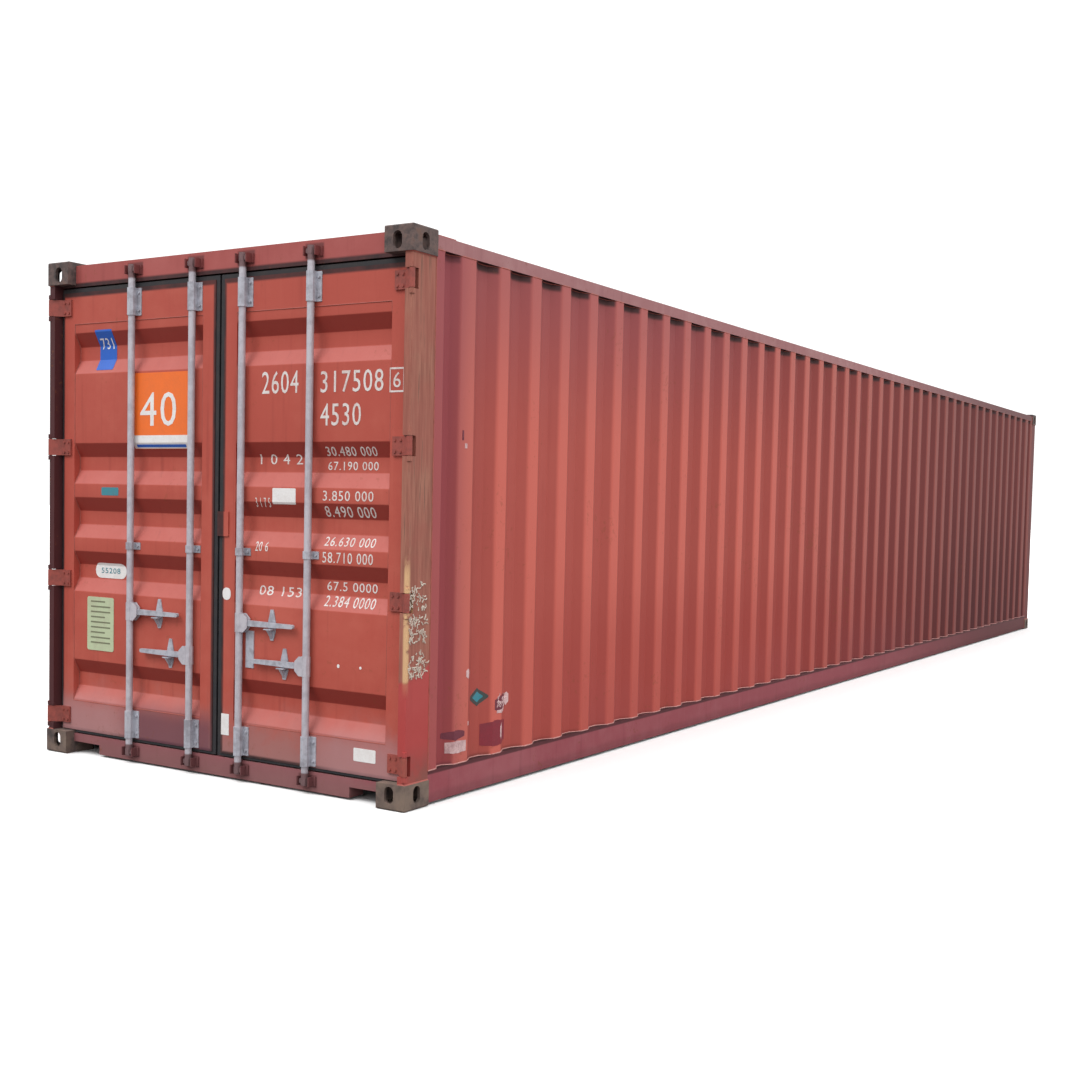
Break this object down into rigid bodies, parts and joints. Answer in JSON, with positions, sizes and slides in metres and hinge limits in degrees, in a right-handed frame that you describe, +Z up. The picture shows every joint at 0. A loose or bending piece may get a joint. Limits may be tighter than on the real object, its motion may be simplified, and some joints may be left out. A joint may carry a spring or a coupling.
{
  "type": "shipping container",
  "caption": "Steel dry freight container with corrugated walls and roof, corner castings, and hinged rear doors with locking bars and handles.",
  "frame": {"origin": "middle of the base, level with the feet of the lower corner castings", "axes": "+X along the length from the doors to the front end, +Y towards the left side seen from behind the doors, +Z up"},
  "size_m": [12.192, 2.438, 2.591],
  "materials": {
    "red_paint": "weathered oxide red marine paint",
    "corner_casting": "worn paint over cast steel",
    "underframe_coating": "dull dark wax coating",
    "floor_timber": "scuffed plywood boards",
    "galvanised_steel": "weathered hot dip galvanised",
    "gasket_rubber": "matt black rubber"
  },
  "bodies": {
    "container": {"casting_rear_right_lower": "corner_casting", "casting_rear_right_upper": "corner_casting", "casting_rear_left_lower": "corner_casting", "casting_rear_left_upper": "corner_casting", "casting_front_right_lower": "corner_casting", "casting_front_right_upper": "corner_casting", "casting_front_left_lower": "corner_casting", "casting_front_left_upper": "corner_casting", "door_header": "red_paint", "door_sill": "red_paint", "front_header": "red_paint", "front_sill": "red_paint", "front_wall": "red_paint", "roof": "red_paint", "rear_post_right": "red_paint", "rear_post_left": "red_paint", "front_post_right": "red_paint", "front_post_left": "red_paint", "top_rail_right": "red_paint", "top_rail_left": "red_paint", "bottom_rail_right": "red_paint", "bottom_rail_left": "red_paint", "side_wall_right": "red_paint", "side_wall_left": "red_paint", "cross_members": "underframe_coating", "gooseneck_tunnel": "underframe_coating", "floor_boards": "floor_timber"},
    "right_door": {"right_door_frame": "red_paint", "right_door_panel": "red_paint", "right_door_gasket": "gasket_rubber", "right_door_hinges": "red_paint", "right_door_brackets": "galvanised_steel"},
    "right_inner_bar": {"right_inner_bar": "galvanised_steel"},
    "right_inner_handle": {"right_inner_handle": "galvanised_steel"},
    "right_outer_bar": {"right_outer_bar": "galvanised_steel"},
    "right_outer_handle": {"right_outer_handle": "galvanised_steel"},
    "left_door": {"left_door_frame": "red_paint", "left_door_panel": "red_paint", "left_door_gasket": "gasket_rubber", "left_door_hinges": "red_paint", "left_door_brackets": "galvanised_steel"},
    "left_inner_bar": {"left_inner_bar": "galvanised_steel"},
    "left_inner_handle": {"left_inner_handle": "galvanised_steel"},
    "left_outer_bar": {"left_outer_bar": "galvanised_steel"},
    "left_outer_handle": {"left_outer_handle": "galvanised_steel"}
  },
  "joints": [
    {"name": "right_door_swing", "type": "hinge", "parent": "container", "child": "right_door", "pos_m": [-6.083, -1.206, 1.278], "axis": [0, 0, 1], "range_deg": [0, 268]},
    {"name": "left_door_swing", "type": "hinge", "parent": "container", "child": "left_door", "pos_m": [-6.083, 1.206, 1.278], "axis": [0, 0, -1], "range_deg": [0, 268]},
    {"name": "right_inner_bar_turn", "type": "hinge", "parent": "right_door", "child": "right_inner_bar", "pos_m": [-6.066, -0.17, 1.278], "axis": [0, 0, 1], "range_deg": [-100, 0]},
    {"name": "right_inner_handle_lift", "type": "hinge", "parent": "right_inner_bar", "child": "right_inner_handle", "pos_m": [-6.066, -0.21, 0.778], "axis": [1, 0, 0], "range_deg": [-22, 0]},
    {"name": "right_outer_bar_turn", "type": "hinge", "parent": "right_door", "child": "right_outer_bar", "pos_m": [-6.066, -0.603, 1.278], "axis": [0, 0, -1], "range_deg": [-100, 0]},
    {"name": "right_outer_handle_lift", "type": "hinge", "parent": "right_outer_bar", "child": "right_outer_handle", "pos_m": [-6.066, -0.563, 0.598], "axis": [-1, 0, 0], "range_deg": [-22, 0]},
    {"name": "left_inner_bar_turn", "type": "hinge", "parent": "left_door", "child": "left_inner_bar", "pos_m": [-6.066, 0.17, 1.278], "axis": [0, 0, -1], "range_deg": [-100, 0]},
    {"name": "left_inner_handle_lift", "type": "hinge", "parent": "left_inner_bar", "child": "left_inner_handle", "pos_m": [-6.066, 0.21, 0.59], "axis": [-1, 0, 0], "range_deg": [-22, 0]},
    {"name": "left_outer_bar_turn", "type": "hinge", "parent": "left_door", "child": "left_outer_bar", "pos_m": [-6.066, 0.603, 1.278], "axis": [0, 0, 1], "range_deg": [-100, 0]},
    {"name": "left_outer_handle_lift", "type": "hinge", "parent": "left_outer_bar", "child": "left_outer_handle", "pos_m": [-6.066, 0.563, 0.785], "axis": [1, 0, 0], "range_deg": [-22, 0]}
  ]
}
